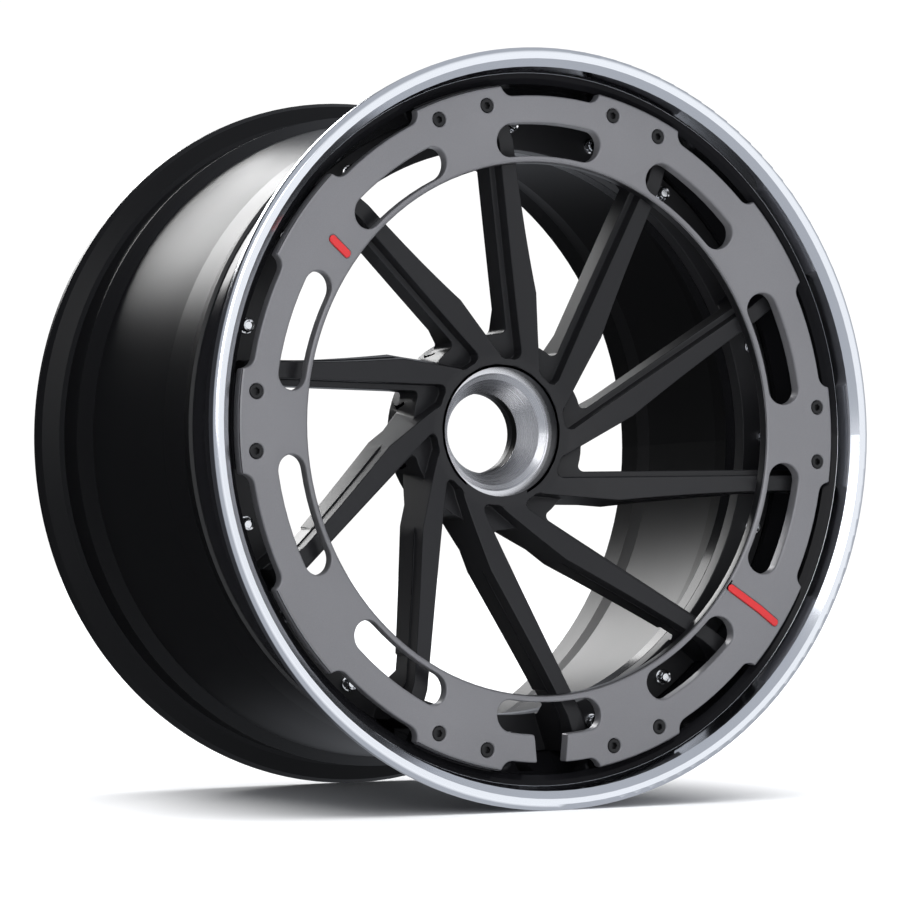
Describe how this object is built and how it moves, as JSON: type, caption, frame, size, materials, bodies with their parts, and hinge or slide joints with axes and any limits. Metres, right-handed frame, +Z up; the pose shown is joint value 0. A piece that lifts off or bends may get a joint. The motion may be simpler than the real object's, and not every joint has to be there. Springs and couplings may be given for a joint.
{
  "type": "forged wheel",
  "caption": "Forged road wheel: bolted rim with a polished lip and black barrel, swirling straight spokes, centre-lock cone seat and a slotted grey front ring.",
  "frame": {"origin": "on the spin axis, in the middle of the rim's overall width", "axes": "+Y along the spin axis from the front face to the back, +Z up, +X to the right seen from the front"},
  "size_m": [0.548, 0.3296, 0.548],
  "materials": {
    "polished_lip": "polished face, gloss black inside",
    "satin_black": "satin black paint",
    "sealant": "matt black sealant",
    "charcoal": "satin charcoal paint",
    "brushed": "turned metal with a circular brush",
    "satin_grey": "satin grey paint",
    "red": "satin red paint",
    "bright_steel": "bright plated steel",
    "black_steel": "blackened steel"
  },
  "bodies": {
    "root": {"outer_lip": "polished_lip", "inner_barrel": "satin_black", "rim_seal": "sealant", "wheel_centre": "charcoal", "centre_seat": "brushed", "front_ring": "satin_grey", "accent_bar_long": "red", "accent_bar_short": "red", "assembly_bolts": "bright_steel", "assembly_nuts": "bright_steel", "ring_screws": "black_steel"}
  },
  "joints": []
}
